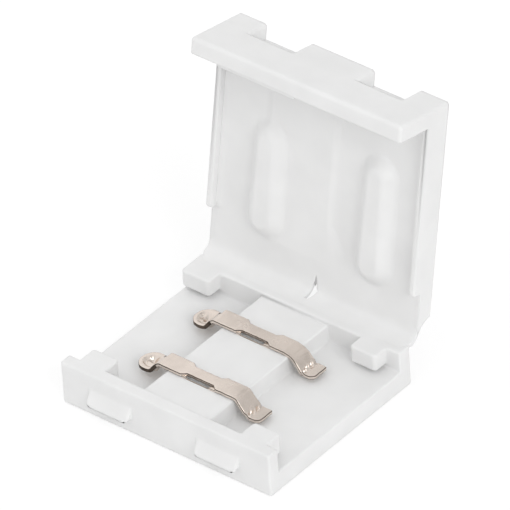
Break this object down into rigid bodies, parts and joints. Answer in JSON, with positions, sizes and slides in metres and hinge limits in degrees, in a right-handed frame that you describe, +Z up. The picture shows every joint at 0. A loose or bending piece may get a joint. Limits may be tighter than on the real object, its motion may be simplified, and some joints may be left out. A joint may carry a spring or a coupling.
{
  "type": "led strip connector",
  "caption": "Hinged snap-shut plastic clip with sprung metal contacts that joins the ends of flat light strips without solder.",
  "frame": {"origin": "centre of the base's flat underside, without the catches", "axes": "+Z up out of the base, +X along the strips, -Y to the side with the catches, +Y to the hinge"},
  "size_m": [0.0154, 0.0182, 0.0182],
  "materials": {
    "white_plastic": "satin, slightly milky",
    "plated_metal": "plated, satin"
  },
  "bodies": {
    "base": {"base_tray": "white_plastic", "hinge_web_left": "white_plastic", "hinge_web_right": "white_plastic", "contact_front": "plated_metal", "contact_rear": "plated_metal"},
    "lid": {"lid": "white_plastic"}
  },
  "joints": [
    {"name": "lid_hinge", "type": "hinge", "parent": "base", "child": "lid", "pos_m": [0, 0.00667, 0.00313], "axis": [1, 0, 0], "range_deg": [-75, 101], "deforming": ["hinge_web_left", "hinge_web_right"]}
  ]
}
